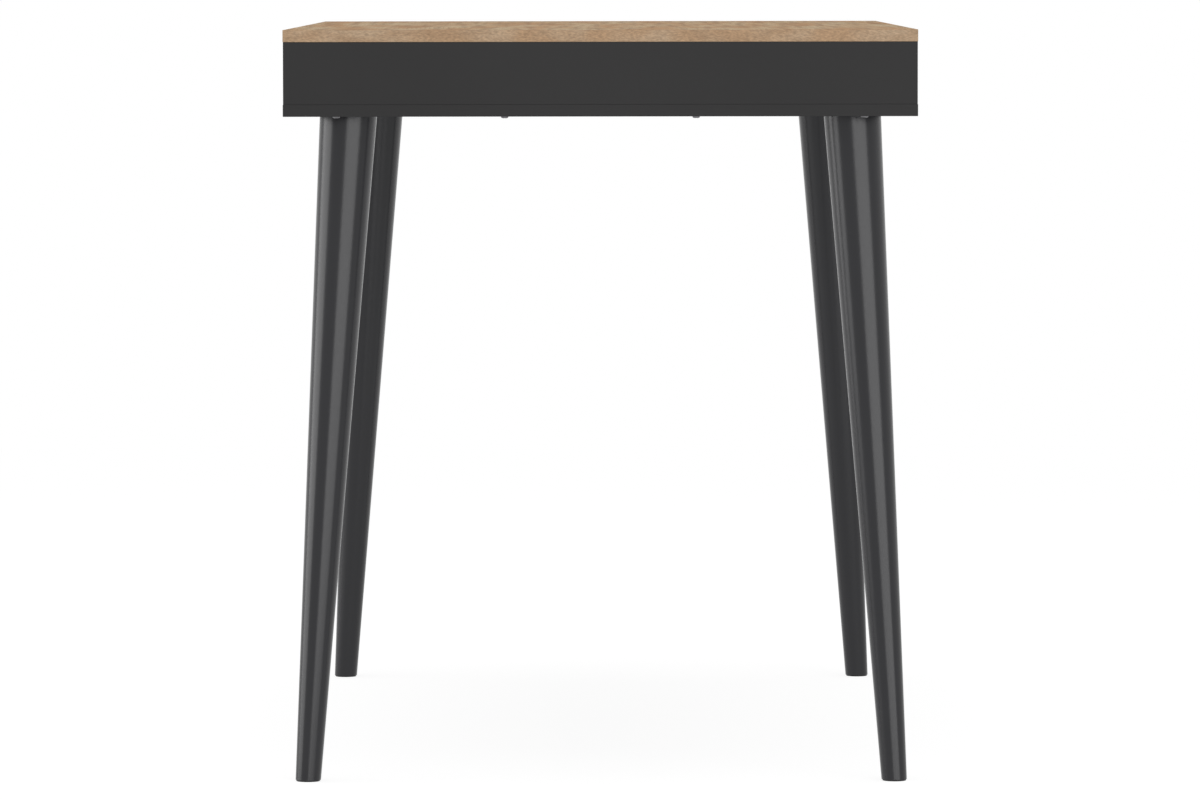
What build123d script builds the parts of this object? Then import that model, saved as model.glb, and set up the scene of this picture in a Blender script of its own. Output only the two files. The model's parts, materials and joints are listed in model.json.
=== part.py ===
from build123d import *
import os
from typing import NamedTuple

# Writing desk: a slim box with two drawers side by side, on four raked and tapered legs.
# X runs along the desk, Y from the front (-) to the back (+), Z up. Sizes are in millimetres.
# The origin lies on the floor, under the middle of the desk.

# Desk
desk_length = 1120.0
desk_depth = 630.0
desk_height = 750.0

# Boards of the box
top_thickness = 12.0
bottom_thickness = 12.0
wall_thickness = 12.0
bay_height = 62.0
wall_setback = 0.35
edge_break = 0.3

# Legs, whose centre lines lean outwards on both axes
leg_head_inset = 63.0
leg_foot_inset = 22.0
leg_head_diameter = 57.2
leg_foot_diameter = 25.3
leg_end_spare = 20.0

# Glides under the feet
glide_diameter = 23.6
glide_height = 1.2
glide_round = 0.4
glide_stem_diameter = 4.0
glide_stem_length = 14.0

# Bolts that hold the legs, two to a leg, with washers and threaded inserts
leg_bolt_spacing = 26.0
leg_bolt_diameter = 6.0
leg_bolt_reach = 14.0
leg_bolt_head_diameter = 11.0
leg_bolt_head_height = 3.0
leg_bolt_socket = 4.0
leg_bolt_socket_depth = 2.0
washer_diameter = 18.0
washer_thickness = 1.6
insert_diameter = 10.0
insert_length = 18.0

# Pan-head screws driven upwards through the bottom panel
screw_diameter = 3.8
screw_reach = 26.0
screw_head_diameter = 7.6
screw_head_height = 1.8
screw_crown_diameter = 5.0
end_screw_inset = 53.0
end_screw_spacing = 190.0
divider_screw_inset = 85.0
back_screw_inset = 140.0
back_screw_spacing = 280.0

# Cam locks and bolts that pull the desktop down
cam_diameter = 15.0
cam_depth = 9.5
cam_drop = 20.0
cam_slit_width = 1.4
cam_slit_depth = 1.5
cam_bolt_diameter = 4.8
cam_bolt_thread_length = 8.0
cam_bolt_head_diameter = 6.6
cam_bolt_head_height = 4.0
end_cam_spacing = 420.0
divider_cam_spacing = 320.0
back_cam_spacing = 640.0

# Wooden dowels
dowel_diameter = 6.0
dowel_length = 24.0
dowel_seat = 8.0
end_dowel_spacing = 340.0
divider_dowel_spacing = 220.0
back_dowel_spacing = 560.0

# Drawers
drawer_lift = 7.0
front_thickness = 12.0
front_gap = 2.0
front_recess = 1.0
drawer_wall = 12.0
side_height = 44.0
side_length = 510.0
sheet_thickness = 3.0
groove_rise = 6.0
groove_depth = 4.0
groove_play = 0.2
notch_width = 110.0
notch_depth = 18.0
notch_round = 14.0
notch_lip_round = 4.0
drawer_dowel_margin = 9.0

# Ball-bearing runners
rail_height = 27.0
rail_depth = 10.0
rail_gauge = 1.0
rail_reach = 8.2
rail_lip = 1.2
rail_bend = 1.6
rail_length = 500.0
rail_rise = 20.0
rail_inset = 3.0
ball_diameter = 3.0
ball_play = 0.05
ball_spacing = 110.0
cage_gauge = 0.6
cage_play = 0.4
cage_length = 150.0
rail_screw_inset = 30.0
rail_screw_diameter = 3.0
rail_screw_length = 5.5
rail_screw_head_diameter = 6.0
rail_screw_neck_diameter = 4.0

# Radial clearance of everything that sits in a hole
fit = 0.1

# Levels and faces that several pieces share
half_length = desk_length / 2
half_depth = desk_depth / 2
bay_roof = desk_height - top_thickness
bay_floor = bay_roof - bay_height
box_base = bay_floor - bottom_thickness
wall_front = -half_depth + wall_setback
wall_back = half_depth - wall_setback
back_face = wall_back - wall_thickness
end_face = half_length - wall_thickness
bay_width = end_face - wall_thickness / 2
bay_centre = (end_face + wall_thickness / 2) / 2
front_face = wall_front + front_recess
drawer_front = front_face + front_thickness
drawer_rear = drawer_front + side_length
side_base = bay_floor + drawer_lift
side_top = side_base + side_height
sheet_base = side_base + groove_rise
sheet_top = sheet_base + sheet_thickness
rail_front = drawer_front + rail_inset
rail_level = bay_floor + rail_rise
cam_level = bay_roof - cam_drop

# Section of a runner: u is measured from the bay's wall, v up and down from the runner's middle
ball_radius = ball_diameter / 2
ball_v = rail_height / 2 - rail_gauge - ball_play - ball_radius
cage_back = rail_gauge + cage_play
cage_face = cage_back + cage_gauge
cage_edge = rail_reach - rail_gauge - cage_play
ball_u = (cage_face + cage_edge) / 2
runner_half = ball_v - ball_radius - ball_play
runner_start = cage_face + cage_play

UP = (0, 0, 1)
DOWN = (0, 0, -1)
FORWARD = (0, -1, 0)
REARWARD = (0, 1, 0)
SIDES = {"left": -1, "right": 1}
ENDS = {"front": -1, "rear": 1}
FROM_BASE = (Align.CENTER, Align.CENTER, Align.MIN)

os.makedirs("parts", exist_ok=True)


class Drilling(NamedTuple):
    """Round holes of one size, each drilled from its mouth along one direction."""

    mouths: list
    direction: tuple
    diameter: float
    depth: float


def save(piece, name):
    """Label a finished piece and write it under its own name."""
    piece.part.label = name
    export_step(piece.part, f"parts/{name}.step")


def panel(x_span, y_span, z_span, drillings=()):
    """A board between two limits on each axis, with broken edges and drilled holes."""
    with BuildPart() as piece:
        with BuildSketch(Plane.XY.offset(z_span[0])):
            with Locations(((x_span[0] + x_span[1]) / 2, (y_span[0] + y_span[1]) / 2)):
                Rectangle(x_span[1] - x_span[0], y_span[1] - y_span[0])
        extrude(amount=z_span[1] - z_span[0])
        chamfer(piece.edges(), edge_break)
        for hole in drillings:
            with Locations(*[Plane(origin=mouth, z_dir=hole.direction) for mouth in hole.mouths]):
                Cylinder(hole.diameter / 2 + fit, hole.depth + fit, align=FROM_BASE, mode=Mode.SUBTRACT)
    return piece


def turned(outline):
    """A piece turned about Z from half of its outline, given as radius and height."""
    with BuildPart() as piece:
        with BuildSketch(Plane.XZ):
            with BuildLine():
                Polyline(*outline, close=True)
            make_face()
        revolve(axis=Axis.Z)
    return piece


def group(item, planes):
    """Separate copies of one item, one on each plane."""
    with BuildPart() as piece:
        with Locations(*planes):
            add(item.part)
    return piece


def planes_at(points, direction):
    """Planes through the points that face along one direction."""
    return [Plane(origin=point, z_dir=direction) for point in points]


def pair(middle, spacing):
    """Two places, evenly about a middle."""
    return [middle - spacing / 2, middle + spacing / 2]


# Places of the screws, cams and dowels in the walls of the box
end_middle = half_length - wall_thickness / 2
back_middle = wall_back - wall_thickness / 2
divider_screw_rows = [wall_front + divider_screw_inset, back_face - divider_screw_inset]
end_screw_rows = pair(0, desk_depth - 2 * end_screw_inset) + pair(0, end_screw_spacing)
back_screw_columns = pair(0, desk_length - 2 * back_screw_inset) + pair(0, back_screw_spacing)
end_cam_rows = pair(0, end_cam_spacing)
divider_cam_rows = pair(0, divider_cam_spacing)
back_cam_columns = pair(0, back_cam_spacing)
end_dowel_rows = pair(0, end_dowel_spacing)
divider_dowel_rows = pair(0, divider_dowel_spacing)
back_dowel_columns = pair(0, back_dowel_spacing)


def end_points(sign, rows, level):
    """Points in the middle of an end panel's thickness."""
    return [(sign * end_middle, y, level) for y in rows]


def divider_points(rows, level):
    """Points in the middle of the divider's thickness."""
    return [(0, y, level) for y in rows]


def back_points(columns, level):
    """Points in the middle of the back panel's thickness."""
    return [(x, back_middle, level) for x in columns]


def wall_points(level, end_rows, divider_rows, back_columns):
    """Points in the middle of every wall of the box, all at one level."""
    points = divider_points(divider_rows, level) + back_points(back_columns, level)
    for sign in SIDES.values():
        points += end_points(sign, end_rows, level)
    return points


def leg_centre(x_sign, y_sign, inset, level):
    """Where a leg's centre line crosses a level, from its inset there."""
    return Vector(x_sign * (half_length - inset), y_sign * (half_depth - inset), level)


CORNERS = [(x_sign, y_sign) for x_sign in SIDES.values() for y_sign in ENDS.values()]


def leg_bolt_points(level, x_sign, y_sign):
    """The two bolts of one leg, at a level."""
    head = leg_centre(x_sign, y_sign, leg_head_inset, level)
    return [(x, head.Y, level) for x in pair(head.X, leg_bolt_spacing)]


def all_leg_bolt_points(level):
    """The bolts of all legs, at a level."""
    return [point for corner in CORNERS for point in leg_bolt_points(level, *corner)]


# Rails: each bay has one on either wall, and into is the direction from the wall into the bay
rail_middle = rail_front + rail_length / 2
rail_rows = pair(rail_middle, rail_length - 2 * rail_screw_inset)


def bay_walls(bay_sign):
    """The two walls of a bay: which side of the bay, where it stands and which way is into the bay."""
    centre = bay_sign * bay_centre
    return [("left", centre - bay_width / 2, 1), ("right", centre + bay_width / 2, -1)]


def rail_plane(wall, into, start):
    """Plane of a runner's section, u from the wall and v up, at its front end."""
    return Plane(origin=(wall, start, rail_level), x_dir=(into, 0, 0), z_dir=(0, -into, 0))


def rail_points(face):
    """Screw places of a runner on the face that it is fixed to."""
    return [(face, y, rail_level) for y in rail_rows]


def rail_drilling(face, direction):
    """Holes for a runner's screws in the board that it is fixed to."""
    return Drilling(rail_points(face), (direction, 0, 0), rail_screw_diameter, rail_screw_length)


# Desktop
thread_points = wall_points(bay_roof, end_cam_rows, divider_cam_rows, back_cam_columns)
dowel_points = wall_points(bay_roof, end_dowel_rows, divider_dowel_rows, back_dowel_columns)
desktop = panel(
    (-half_length, half_length),
    (-half_depth, half_depth),
    (bay_roof, desk_height),
    [
        Drilling(thread_points, UP, cam_bolt_diameter, cam_bolt_thread_length),
        Drilling(dowel_points, UP, dowel_diameter, dowel_seat),
    ],
)
save(desktop, "desktop")

# Bottom panel
screw_points = wall_points(box_base, end_screw_rows, divider_screw_rows, back_screw_columns)
bottom_panel = panel(
    (-half_length, half_length),
    (-half_depth, half_depth),
    (box_base, bay_floor),
    [
        Drilling(screw_points, UP, screw_diameter, bottom_thickness),
        Drilling(all_leg_bolt_points(box_base), UP, leg_bolt_diameter, bottom_thickness),
    ],
)
save(bottom_panel, "bottom_panel")


def wall_drillings(points_at, screw_places, cam_places, dowel_places, cam_face, cam_direction):
    """Holes that every wall of the box has: for screws, cams, their bolts and dowels."""
    cam_mouths = [cam_face(point) for point in points_at(cam_places, cam_level)]
    return [
        Drilling(points_at(screw_places, bay_floor), UP, screw_diameter, screw_reach),
        Drilling(cam_mouths, cam_direction, cam_diameter, cam_depth),
        Drilling(points_at(cam_places, bay_roof), DOWN, cam_bolt_head_diameter, cam_drop),
        Drilling(points_at(dowel_places, bay_roof), DOWN, dowel_diameter, dowel_length - dowel_seat),
    ]


# End panels
for side, sign in SIDES.items():
    end_holes = wall_drillings(
        lambda rows, level: end_points(sign, rows, level),
        end_screw_rows,
        end_cam_rows,
        end_dowel_rows,
        lambda point: (sign * end_face, point[1], point[2]),
        (sign, 0, 0),
    )
    end_panel = panel(
        (-half_length, -end_face) if sign < 0 else (end_face, half_length),
        (wall_front, wall_back),
        (bay_floor, bay_roof),
        end_holes + [rail_drilling(sign * end_face, sign)],
    )
    save(end_panel, f"{side}_end_panel")

# Back panel, between the end panels
back_panel = panel(
    (-end_face, end_face),
    (back_face, wall_back),
    (bay_floor, bay_roof),
    wall_drillings(
        back_points,
        back_screw_columns,
        back_cam_columns,
        back_dowel_columns,
        lambda point: (point[0], back_face, point[2]),
        REARWARD,
    ),
)
save(back_panel, "back_panel")

# Centre divider, with its cams let into its right face
divider_half = wall_thickness / 2
centre_divider = panel(
    (-divider_half, divider_half),
    (wall_front, back_face),
    (bay_floor, bay_roof),
    wall_drillings(
        divider_points,
        divider_screw_rows,
        divider_cam_rows,
        divider_dowel_rows,
        lambda point: (divider_half, point[1], point[2]),
        (-1, 0, 0),
    )
    + [rail_drilling(sign * divider_half, -sign) for sign in SIDES.values()],
)
save(centre_divider, "centre_divider")

# Screws through the bottom panel
screw_end = bottom_thickness + screw_reach
pan_screw = turned(
    [
        (0, -screw_head_height),
        (screw_crown_diameter / 2, -screw_head_height),
        (screw_head_diameter / 2, -screw_head_height / 2),
        (screw_head_diameter / 2, 0),
        (screw_diameter / 2, 0),
        (screw_diameter / 2, screw_end),
        (0, screw_end),
    ]
)
save(group(pan_screw, planes_at(screw_points, UP)), "box_screws")

# Cam bolts, screwed up into the desktop, with their heads in the cams
cam_bolt_end = -cam_drop
cam_bolt = turned(
    [
        (0, cam_bolt_thread_length),
        (cam_bolt_diameter / 2, cam_bolt_thread_length),
        (cam_bolt_diameter / 2, cam_bolt_end + cam_bolt_head_height),
        (cam_bolt_head_diameter / 2, cam_bolt_end + cam_bolt_head_height),
        (cam_bolt_head_diameter / 2, cam_bolt_end),
        (0, cam_bolt_end),
    ]
)
save(group(cam_bolt, planes_at(thread_points, UP)), "cam_bolts")

# Cam locks: local Z runs into the wall, local X points up to the mouth that takes the bolt's head
cam_mouth = cam_bolt_head_diameter + 2 * fit
mouth_start = (wall_thickness - cam_mouth) / 2
with BuildPart() as cam_lock:
    Cylinder(cam_diameter / 2, cam_depth, align=FROM_BASE)
    with Locations((-cam_mouth / 2, 0, mouth_start)):
        Box(
            cam_diameter,
            cam_mouth,
            cam_depth,
            align=(Align.MIN, Align.CENTER, Align.MIN),
            mode=Mode.SUBTRACT,
        )
    Box(cam_diameter, cam_slit_width, 2 * cam_slit_depth, mode=Mode.SUBTRACT)
cam_planes = [Plane((x, back_face, cam_level), x_dir=UP, z_dir=REARWARD) for x in back_cam_columns]
cam_planes += [Plane((divider_half, y, cam_level), x_dir=UP, z_dir=(-1, 0, 0)) for y in divider_cam_rows]
for sign in SIDES.values():
    cam_planes += [
        Plane((sign * end_face, y, cam_level), x_dir=UP, z_dir=(sign, 0, 0)) for y in end_cam_rows
    ]
save(group(cam_lock, cam_planes), "cam_locks")

# Dowels between the desktop and the walls
dowel = turned([(0, 0), (dowel_diameter / 2, 0), (dowel_diameter / 2, dowel_length), (0, dowel_length)])
dowel_foot = bay_roof + dowel_seat - dowel_length
save(group(dowel, planes_at([(x, y, dowel_foot) for x, y, z in dowel_points], UP)), "desktop_dowels")

# Legs: straight cones about a leaning centre line, cut level above and below
glide = turned(
    [
        (0, 0),
        (glide_diameter / 2 - glide_round, 0),
        (glide_diameter / 2, glide_round),
        (glide_diameter / 2, glide_height),
        (glide_stem_diameter / 2, glide_height),
        (glide_stem_diameter / 2, glide_height + glide_stem_length),
        (0, glide_height + glide_stem_length),
    ]
)
for end, y_sign in ENDS.items():
    for side, x_sign in SIDES.items():
        foot = leg_centre(x_sign, y_sign, leg_foot_inset, 0)
        head = leg_centre(x_sign, y_sign, leg_head_inset, box_base)
        centre_line = head - foot
        growth = (leg_head_diameter - leg_foot_diameter) / 2 / centre_line.length
        start = foot - centre_line.normalized() * leg_end_spare
        with BuildPart() as leg:
            with Locations(Plane(origin=start, z_dir=centre_line)):
                Cone(
                    leg_foot_diameter / 2 - growth * leg_end_spare,
                    leg_head_diameter / 2 + growth * leg_end_spare,
                    centre_line.length + 2 * leg_end_spare,
                    align=FROM_BASE,
                )
            split(bisect_by=Plane.XY.offset(box_base), keep=Keep.BOTTOM)
            split(bisect_by=Plane.XY.offset(glide_height), keep=Keep.TOP)
            with Locations(*planes_at(leg_bolt_points(box_base, x_sign, y_sign), DOWN)):
                Cylinder(
                    insert_diameter / 2 + fit,
                    insert_length + fit,
                    align=FROM_BASE,
                    mode=Mode.SUBTRACT,
                )
            with Locations(Plane(origin=(foot.X, foot.Y, glide_height))):
                Cylinder(
                    glide_stem_diameter / 2 + fit,
                    glide_stem_length + fit,
                    align=FROM_BASE,
                    mode=Mode.SUBTRACT,
                )
        save(leg, f"{end}_{side}_leg")
        save(group(glide, [Plane(origin=foot)]), f"{end}_{side}_glide")

# Threaded inserts in the legs, and the washers and bolts above the bottom panel
insert_bore = leg_bolt_diameter / 2 + fit
insert = turned(
    [
        (insert_bore, 0),
        (insert_diameter / 2, 0),
        (insert_diameter / 2, -insert_length),
        (insert_bore, -insert_length),
    ]
)
save(group(insert, planes_at(all_leg_bolt_points(box_base), UP)), "leg_inserts")
washer = turned(
    [
        (insert_bore, 0),
        (washer_diameter / 2, 0),
        (washer_diameter / 2, washer_thickness),
        (insert_bore, washer_thickness),
    ]
)
save(group(washer, planes_at(all_leg_bolt_points(bay_floor), UP)), "leg_washers")
bolt_crown = washer_thickness + leg_bolt_head_height
with BuildPart() as leg_bolt:
    with BuildSketch(Plane.XY.offset(washer_thickness)):
        Circle(leg_bolt_head_diameter / 2)
    extrude(amount=leg_bolt_head_height)
    with BuildSketch(Plane.XY.offset(washer_thickness)):
        Circle(leg_bolt_diameter / 2)
    extrude(amount=-washer_thickness - bottom_thickness - leg_bolt_reach)
    with BuildSketch(Plane.XY.offset(bolt_crown)):
        RegularPolygon(leg_bolt_socket / 2, 6, major_radius=False)
    extrude(amount=-leg_bolt_socket_depth, mode=Mode.SUBTRACT)
save(group(leg_bolt, planes_at(all_leg_bolt_points(bay_floor), UP)), "leg_bolts")


def rail_screw_hole(face, direction):
    """Countersunk holes through the web of a rail that lies on a face."""
    with Locations(*planes_at(rail_points(face), (direction, 0, 0))):
        Cone(
            rail_screw_neck_diameter / 2 + fit,
            rail_screw_head_diameter / 2 + fit,
            rail_gauge,
            align=FROM_BASE,
            mode=Mode.SUBTRACT,
        )


def cabinet_rail(wall, into):
    """The fixed channel of a runner, with lips that hold the balls."""
    with BuildPart() as piece:
        with BuildSketch(rail_plane(wall, into, rail_front)):
            with Locations((rail_reach / 2, 0)):
                RectangleRounded(rail_reach, rail_height, rail_bend)
                Rectangle(rail_reach - 2 * rail_gauge, rail_height - 2 * rail_gauge, mode=Mode.SUBTRACT)
            with Locations((rail_reach - rail_gauge / 2, 0)):
                Rectangle(rail_gauge, rail_height - 2 * rail_gauge - 2 * rail_lip, mode=Mode.SUBTRACT)
        extrude(amount=-into * rail_length)
        rail_screw_hole(wall, into)
    return piece


def drawer_rail(wall, into):
    """The channel fixed to a drawer's side, open towards the wall."""
    web = rail_depth - rail_gauge
    from_edge = (Align.MIN, Align.CENTER)
    with BuildPart() as piece:
        with BuildSketch(rail_plane(wall, into, rail_front)):
            with Locations((runner_start, 0)):
                Rectangle(rail_depth - runner_start, 2 * runner_half, align=from_edge)
                Rectangle(
                    web - runner_start,
                    2 * (runner_half - rail_gauge),
                    align=from_edge,
                    mode=Mode.SUBTRACT,
                )
        extrude(amount=-into * rail_length)
        rail_screw_hole(wall + into * rail_depth, -into)
    return piece


# Cages wait half-way along the rails, with two balls above and two below the drawer's rail
ball_rows = pair(rail_middle, ball_spacing)


def ball_cage(wall, into):
    """The strip bent round a drawer's rail, with a hole for each ball."""
    from_edge = (Align.MIN, Align.CENTER)
    flange = cage_gauge / 2
    with BuildPart() as piece:
        with BuildSketch(rail_plane(wall, into, rail_middle - cage_length / 2)):
            with Locations((cage_back, 0)):
                Rectangle(cage_edge - cage_back, 2 * (ball_v + flange), align=from_edge)
            with Locations((cage_face, 0)):
                Rectangle(cage_edge - cage_face, 2 * (ball_v - flange), align=from_edge, mode=Mode.SUBTRACT)
        extrude(amount=-into * cage_length)
        with Locations(*[(wall + into * ball_u, y, rail_level) for y in ball_rows]):
            Cylinder(ball_radius + fit, rail_height, mode=Mode.SUBTRACT)
    return piece


rail_screw = turned(
    [
        (0, rail_gauge),
        (rail_screw_head_diameter / 2, rail_gauge),
        (rail_screw_neck_diameter / 2, 0),
        (rail_screw_diameter / 2, 0),
        (rail_screw_diameter / 2, -rail_screw_length),
        (0, -rail_screw_length),
    ]
)

# Rails on the walls of the box
cabinet_screw_planes = []
for bay, bay_sign in SIDES.items():
    for wall_side, wall, into in bay_walls(bay_sign):
        save(cabinet_rail(wall, into), f"{bay}_bay_{wall_side}_rail")
        cabinet_screw_planes += planes_at(rail_points(wall), (into, 0, 0))
save(group(rail_screw, cabinet_screw_planes), "bay_rail_screws")


# Drawers, which are doweled at their corners
drawer_inside = bay_width - 2 * rail_depth - 2 * drawer_wall
drawer_dowel_levels = [sheet_top + drawer_dowel_margin, side_top - drawer_dowel_margin]
drawer_back_middle = drawer_rear - drawer_wall / 2
dowel_rest = dowel_length - dowel_seat


def drawer_face(centre):
    """A drawer's front, with a finger notch in its top edge and a groove for the bottom sheet."""
    width = bay_width - 2 * front_gap
    base = bay_floor + front_gap
    height = bay_height - 2 * front_gap
    groove_width = drawer_inside + 2 * groove_depth
    side_middles = pair(centre, drawer_inside + drawer_wall)
    with BuildPart() as piece:
        with BuildSketch(Plane((centre, front_face, base), x_dir=(1, 0, 0), z_dir=FORWARD)) as outline:
            Rectangle(width, height, align=(Align.CENTER, Align.MIN))
            with Locations((0, height)):
                RectangleRounded(notch_width, 2 * notch_depth, notch_round, mode=Mode.SUBTRACT)
            notch_lips = outline.vertices().group_by(Axis.Y)[-1].sort_by(Axis.X)[1:3]
            fillet(notch_lips, notch_lip_round)
        extrude(amount=-front_thickness)
        chamfer(piece.faces().filter_by(Axis.Y).edges(), edge_break)
        with Locations((centre, drawer_front, sheet_base)):
            Box(
                groove_width,
                2 * groove_depth,
                sheet_thickness + groove_play,
                align=FROM_BASE,
                mode=Mode.SUBTRACT,
            )
        dowel_mouths = [(x, drawer_front, z) for x in side_middles for z in drawer_dowel_levels]
        with Locations(*planes_at(dowel_mouths, FORWARD)):
            Cylinder(dowel_diameter / 2 + fit, dowel_seat + fit, align=FROM_BASE, mode=Mode.SUBTRACT)
    return piece


def drawer_side(wall, into):
    """A drawer's side, grooved for the bottom sheet and drilled for its dowels and rail."""
    outer = wall + into * rail_depth
    inner = outer + into * drawer_wall
    middle = (outer + inner) / 2
    front_mouths = [(middle, drawer_front, z) for z in drawer_dowel_levels]
    back_mouths = [(inner, drawer_back_middle, z) for z in drawer_dowel_levels]
    blank = panel(
        (min(outer, inner), max(outer, inner)),
        (drawer_front, drawer_rear),
        (side_base, side_top),
        [
            Drilling(front_mouths, REARWARD, dowel_diameter, dowel_rest),
            Drilling(back_mouths, (-into, 0, 0), dowel_diameter, dowel_seat),
            rail_drilling(outer, into),
        ],
    )
    with BuildPart() as piece:
        add(blank.part)
        with Locations((inner, (drawer_front + drawer_rear) / 2, sheet_base)):
            Box(
                2 * groove_depth,
                side_length,
                sheet_thickness + groove_play,
                align=FROM_BASE,
                mode=Mode.SUBTRACT,
            )
    return piece


sheet_width = drawer_inside + 2 * (groove_depth - groove_play)
for bay, bay_sign in SIDES.items():
    centre = bay_sign * bay_centre
    inner_left, inner_right = pair(centre, drawer_inside)
    save(drawer_face(centre), f"{bay}_drawer_front")

    left_mouths = [(inner_left, drawer_back_middle, z) for z in drawer_dowel_levels]
    right_mouths = [(inner_right, drawer_back_middle, z) for z in drawer_dowel_levels]
    drawer_back = panel(
        (inner_left, inner_right),
        (drawer_rear - drawer_wall, drawer_rear),
        (sheet_top + groove_play, side_top),
        [
            Drilling(left_mouths, (1, 0, 0), dowel_diameter, dowel_rest),
            Drilling(right_mouths, (-1, 0, 0), dowel_diameter, dowel_rest),
        ],
    )
    save(drawer_back, f"{bay}_drawer_back")

    with BuildPart() as drawer_sheet:
        with BuildSketch(Plane.XY.offset(sheet_base)):
            with Locations((centre, drawer_rear)):
                Rectangle(
                    sheet_width,
                    side_length + groove_depth - groove_play,
                    align=(Align.CENTER, Align.MAX),
                )
        extrude(amount=sheet_thickness)
    save(drawer_sheet, f"{bay}_drawer_bottom")

    drawer_dowel_planes = []
    drawer_screw_planes = []
    cages = [ball_cage(wall, into) for wall_side, wall, into in bay_walls(bay_sign)]
    with BuildPart() as ball_cages:
        add([cage.part for cage in cages])
    for wall_side, wall, into in bay_walls(bay_sign):
        outer = wall + into * rail_depth
        inner = outer + into * drawer_wall
        save(drawer_side(wall, into), f"{bay}_drawer_{wall_side}_side")
        save(drawer_rail(wall, into), f"{bay}_drawer_{wall_side}_rail")
        drawer_screw_planes += planes_at(rail_points(outer), (-into, 0, 0))
        for level in drawer_dowel_levels:
            front_dowel = ((outer + inner) / 2, drawer_front - dowel_seat, level)
            back_dowel = (inner - into * dowel_seat, drawer_back_middle, level)
            drawer_dowel_planes += planes_at([front_dowel], REARWARD)
            drawer_dowel_planes += planes_at([back_dowel], (into, 0, 0))
    save(group(dowel, drawer_dowel_planes), f"{bay}_drawer_dowels")
    save(group(rail_screw, drawer_screw_planes), f"{bay}_drawer_rail_screws")
    save(ball_cages, f"{bay}_drawer_ball_cages")

    with BuildPart() as balls:
        for wall_side, wall, into in bay_walls(bay_sign):
            for v in (-ball_v, ball_v):
                with Locations(*[(wall + into * ball_u, y, rail_level + v) for y in ball_rows]):
                    Sphere(ball_radius)
    save(balls, f"{bay}_drawer_balls")
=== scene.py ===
"""Looks of a slim writing desk: an oak-print top, an anthracite drawer box and raked, tapered legs.

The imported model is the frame. Lengths are in metres. X runs along the desk, the drawers face -Y and Z is
up.
"""

import json
import logging
import math
from dataclasses import dataclass, field, replace
from enum import Enum

import bmesh
import bpy
from mathutils import Matrix, Quaternion, Vector


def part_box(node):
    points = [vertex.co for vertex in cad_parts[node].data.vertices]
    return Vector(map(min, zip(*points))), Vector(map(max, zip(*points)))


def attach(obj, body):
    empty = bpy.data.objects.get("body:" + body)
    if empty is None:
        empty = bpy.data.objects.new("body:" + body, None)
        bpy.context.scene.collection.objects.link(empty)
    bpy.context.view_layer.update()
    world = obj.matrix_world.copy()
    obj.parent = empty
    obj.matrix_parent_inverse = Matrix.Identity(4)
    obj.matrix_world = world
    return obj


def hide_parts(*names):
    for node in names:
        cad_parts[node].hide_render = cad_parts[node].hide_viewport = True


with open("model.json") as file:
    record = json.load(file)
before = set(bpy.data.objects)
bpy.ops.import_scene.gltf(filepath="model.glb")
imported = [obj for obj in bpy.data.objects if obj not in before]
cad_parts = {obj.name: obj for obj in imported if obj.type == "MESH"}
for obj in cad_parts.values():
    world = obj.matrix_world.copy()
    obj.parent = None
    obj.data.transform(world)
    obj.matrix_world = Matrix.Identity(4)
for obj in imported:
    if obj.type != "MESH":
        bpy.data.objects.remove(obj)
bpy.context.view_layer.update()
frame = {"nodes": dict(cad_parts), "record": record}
LOG = logging.getLogger("writing_desk")

Triple = tuple[float, float, float]
Range = tuple[float, float]
Colour = tuple[float, float, float, float]
Socket = bpy.types.NodeSocket

DESK = "desk"
SIDES = {"left": -1, "right": 1}
ENDS = {"front": -1, "rear": 1}
ORIGIN = Vector((0.0, 0.0, 0.0))
UP = Vector((0.0, 0.0, 1.0))
QUARTER_TURN = math.pi / 2
FULL_TURN = 2 * math.pi
SMOOTH_ANGLE = math.radians(35)
ROUND_PROFILE = 0.5
KEEP_FINISH = -1
MERGE_DISTANCE = 1e-7
SAME_PLACE = 1e-6
WHITE: Colour = (1.0, 1.0, 1.0, 1.0)


class Grain(Enum):
    """Which way a printed wood grain runs, as a turn about Z that brings it onto X."""

    ALONG_LENGTH = 0.0
    ALONG_DEPTH = QUARTER_TURN


class SocketKind(Enum):
    """What a socket of a node group carries."""

    PLACE = "NodeSocketVector"
    COLOUR = "NodeSocketColor"
    VALUE = "NodeSocketFloat"


class Rounding(Enum):
    """What a rounding softens: the edges of a solid or the corners of a flat outline."""

    EDGES = "EDGES"
    CORNERS = "VERTICES"


class TopFace(Enum):
    """Faces of the desktop, by the place of their finish in the piece's list."""

    BOARD = 0
    END_BAND = 1
    SIDE_BAND = 2


def opaque(colour: Triple) -> Colour:
    """Return a colour with full alpha."""
    return (*colour, 1.0)


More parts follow.
